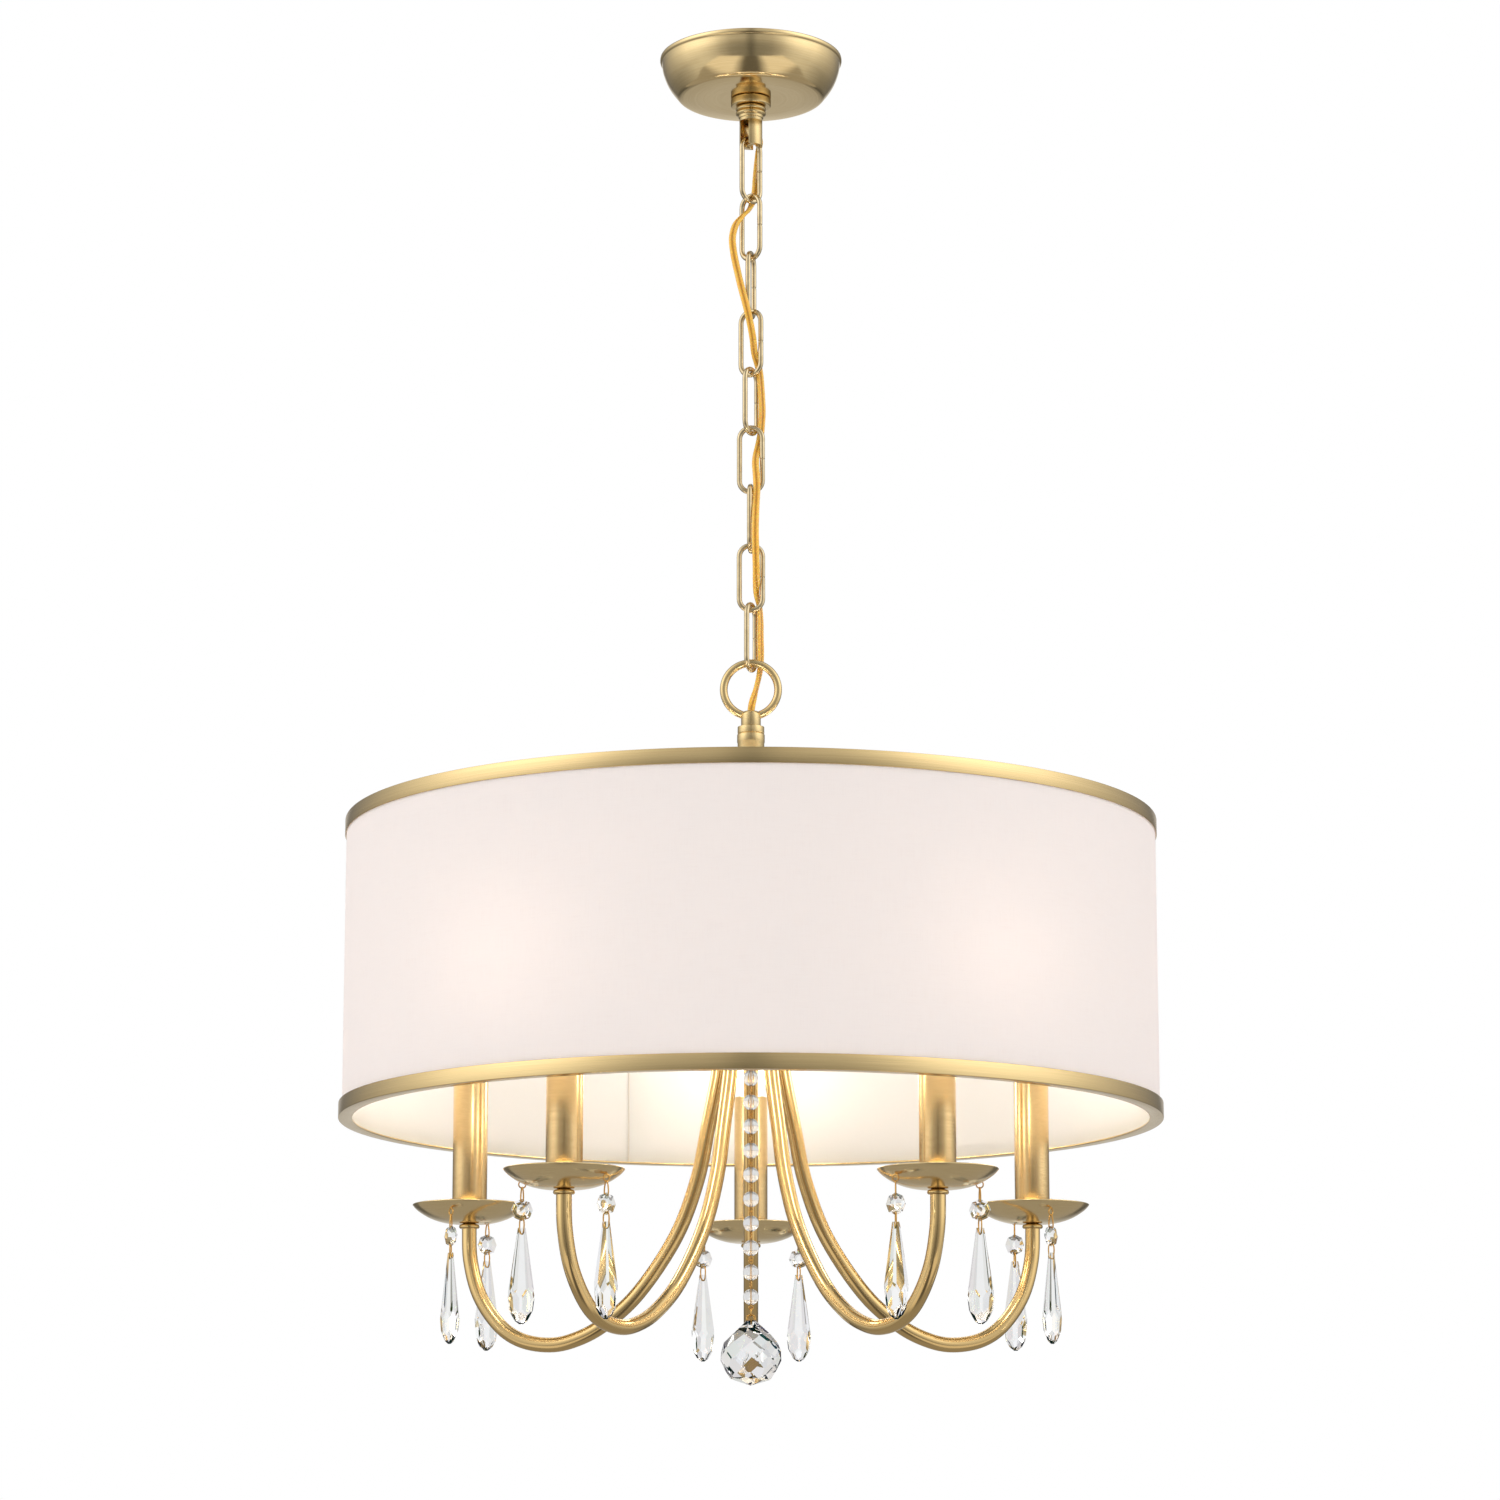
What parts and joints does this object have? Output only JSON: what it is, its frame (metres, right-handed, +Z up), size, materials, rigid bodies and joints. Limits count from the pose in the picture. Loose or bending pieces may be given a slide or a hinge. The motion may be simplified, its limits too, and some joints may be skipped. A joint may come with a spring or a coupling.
{
  "type": "chandelier",
  "caption": "Drum-shade chandelier on a chain, with curved brass arms, candle lights, dishes, crystal drops and a bead strand with a crystal ball.",
  "frame": {"origin": "centre of the ceiling plane, where the canopy and its mounting bar meet the ceiling", "axes": "+Z up, out of the ceiling; everything hangs in -Z; +Y away from the picture's view, along the first arm; +X to its right"},
  "size_m": [0.52, 0.52, 0.8715],
  "materials": {
    "satin_brass": "satin, spun and lacquered",
    "chain_brass": "bright, pale",
    "zinc_steel": "zinc plated",
    "amber_cord": "clear amber sheath",
    "shade_cloth": "fine plain weave, white",
    "crystal": "clear, cut and polished",
    "bulb_glass": "frosted, warm white",
    "holder_plastic": "cream, moulded"
  },
  "bodies": {
    "ceiling_mount": {"mounting_bar": "zinc_steel", "ceiling_nipple": "zinc_steel", "canopy": "satin_brass", "canopy_ring": "satin_brass", "canopy_loop": "satin_brass", "lamp_cord": "amber_cord"},
    "link_1": {"chain_link_1": "chain_brass"},
    "link_2": {"chain_link_2": "chain_brass"},
    "link_3": {"chain_link_3": "chain_brass"},
    "link_4": {"chain_link_4": "chain_brass"},
    "link_5": {"chain_link_5": "chain_brass"},
    "link_6": {"chain_link_6": "chain_brass"},
    "link_7": {"chain_link_7": "chain_brass"},
    "link_8": {"chain_link_8": "chain_brass"},
    "link_9": {"chain_link_9": "chain_brass"},
    "fixture": {"lifting_ring": "satin_brass", "ring_cap": "satin_brass", "cap_collar": "satin_brass", "stem": "zinc_steel", "shade_frame": "satin_brass", "shade_drum": "shade_cloth", "bottom_band": "satin_brass", "hub": "satin_brass", "arm_1": "satin_brass", "dish_1": "satin_brass", "candle_sleeve_1": "satin_brass", "lamp_holder_1": "holder_plastic", "bulb_1": "bulb_glass", "arm_2": "satin_brass", "dish_2": "satin_brass", "candle_sleeve_2": "satin_brass", "lamp_holder_2": "holder_plastic", "bulb_2": "bulb_glass", "arm_3": "satin_brass", "dish_3": "satin_brass", "candle_sleeve_3": "satin_brass", "lamp_holder_3": "holder_plastic", "bulb_3": "bulb_glass", "arm_4": "satin_brass", "dish_4": "satin_brass", "candle_sleeve_4": "satin_brass", "lamp_holder_4": "holder_plastic", "bulb_4": "bulb_glass", "arm_5": "satin_brass", "dish_5": "satin_brass", "candle_sleeve_5": "satin_brass", "lamp_holder_5": "holder_plastic", "bulb_5": "bulb_glass"},
    "strand": {"bead_strand": "crystal"},
    "ball": {"crystal_ball": "crystal"},
    "pendant_1a": {"pendant_1a": "crystal"},
    "pendant_1b": {"pendant_1b": "crystal"},
    "pendant_2a": {"pendant_2a": "crystal"},
    "pendant_2b": {"pendant_2b": "crystal"},
    "pendant_3a": {"pendant_3a": "crystal"},
    "pendant_3b": {"pendant_3b": "crystal"},
    "pendant_4a": {"pendant_4a": "crystal"},
    "pendant_4b": {"pendant_4b": "crystal"},
    "pendant_5a": {"pendant_5a": "crystal"},
    "pendant_5b": {"pendant_5b": "crystal"}
  },
  "joints": [
    {"name": "link_1_swing", "type": "hinge", "parent": "ceiling_mount", "child": "link_1", "pos_m": [0, 0, -0.0588], "axis": [-0.6293, 0.7771, 0], "range_deg": [-15, 15], "deforming": ["lamp_cord"]},
    {"name": "link_2_swing", "type": "hinge", "parent": "link_1", "child": "link_2", "pos_m": [0, 0, -0.0985], "axis": [0.7771, 0.6293, 0], "range_deg": [-15, 15]},
    {"name": "link_3_swing", "type": "hinge", "parent": "link_2", "child": "link_3", "pos_m": [0, 0, -0.1379], "axis": [0.7771, -0.6293, 0], "range_deg": [-15, 15]},
    {"name": "link_4_swing", "type": "hinge", "parent": "link_3", "child": "link_4", "pos_m": [0, 0, -0.1773], "axis": [-0.2504, -0.9681, 0], "range_deg": [-15, 15]},
    {"name": "link_5_swing", "type": "hinge", "parent": "link_4", "child": "link_5", "pos_m": [0, 0, -0.2167], "axis": [-0.8572, 0.515, 0], "range_deg": [-15, 15]},
    {"name": "link_6_swing", "type": "hinge", "parent": "link_5", "child": "link_6", "pos_m": [0, 0, -0.2561], "axis": [-0.5075, -0.8616, 0], "range_deg": [-15, 15]},
    {"name": "link_7_swing", "type": "hinge", "parent": "link_6", "child": "link_7", "pos_m": [0, 0, -0.2955], "axis": [0.9903, -0.1392, 0], "range_deg": [-15, 15]},
    {"name": "link_8_swing", "type": "hinge", "parent": "link_7", "child": "link_8", "pos_m": [0, 0, -0.3349], "axis": [0.1149, 0.9934, 0], "range_deg": [-15, 15]},
    {"name": "link_9_swing", "type": "hinge", "parent": "link_8", "child": "link_9", "pos_m": [0, 0, -0.3743], "axis": [-1, 0, 0], "range_deg": [-15, 15]},
    {"name": "fixture_swing", "type": "hinge", "parent": "link_9", "child": "fixture", "pos_m": [0, 0, -0.4137], "axis": [0.3681, 0.9298, 0], "range_deg": [-15, 15]},
    {"name": "strand_swing", "type": "hinge", "parent": "fixture", "child": "strand", "pos_m": [0, 0, -0.5991], "axis": [0, 1, 0], "range_deg": [-6, 6]},
    {"name": "ball_swing", "type": "hinge", "parent": "strand", "child": "ball", "pos_m": [0, 0, -0.8281], "axis": [0, 1, 0], "range_deg": [-15, 15]},
    {"name": "pendant_1a_swing", "type": "hinge", "parent": "fixture", "child": "pendant_1a", "pos_m": [0.032, 0.19, -0.75668], "axis": [-1, 0, 0], "range_deg": [-20, 20]},
    {"name": "pendant_1b_swing", "type": "hinge", "parent": "fixture", "child": "pendant_1b", "pos_m": [-0.032, 0.19, -0.75668], "axis": [-1, 0, 0], "range_deg": [-20, 20]},
    {"name": "pendant_2a_swing", "type": "hinge", "parent": "fixture", "child": "pendant_2a", "pos_m": [-0.17081, 0.08915, -0.75668], "axis": [-0.309, -0.9511, 0], "range_deg": [-20, 20]},
    {"name": "pendant_2b_swing", "type": "hinge", "parent": "fixture", "child": "pendant_2b", "pos_m": [-0.19059, 0.02828, -0.75668], "axis": [-0.309, -0.9511, 0], "range_deg": [-20, 20]},
    {"name": "pendant_3a_swing", "type": "hinge", "parent": "fixture", "child": "pendant_3a", "pos_m": [-0.13757, -0.1349, -0.75668], "axis": [0.809, -0.5878, 0], "range_deg": [-20, 20]},
    {"name": "pendant_3b_swing", "type": "hinge", "parent": "fixture", "child": "pendant_3b", "pos_m": [-0.08579, -0.17252, -0.75668], "axis": [0.809, -0.5878, 0], "range_deg": [-20, 20]},
    {"name": "pendant_4a_swing", "type": "hinge", "parent": "fixture", "child": "pendant_4a", "pos_m": [0.08579, -0.17252, -0.75668], "axis": [0.809, 0.5878, 0], "range_deg": [-20, 20]},
    {"name": "pendant_4b_swing", "type": "hinge", "parent": "fixture", "child": "pendant_4b", "pos_m": [0.13757, -0.1349, -0.75668], "axis": [0.809, 0.5878, 0], "range_deg": [-20, 20]},
    {"name": "pendant_5a_swing", "type": "hinge", "parent": "fixture", "child": "pendant_5a", "pos_m": [0.19059, 0.02828, -0.75668], "axis": [-0.309, 0.9511, 0], "range_deg": [-20, 20]},
    {"name": "pendant_5b_swing", "type": "hinge", "parent": "fixture", "child": "pendant_5b", "pos_m": [0.17081, 0.08915, -0.75668], "axis": [-0.309, 0.9511, 0], "range_deg": [-20, 20]}
  ]
}
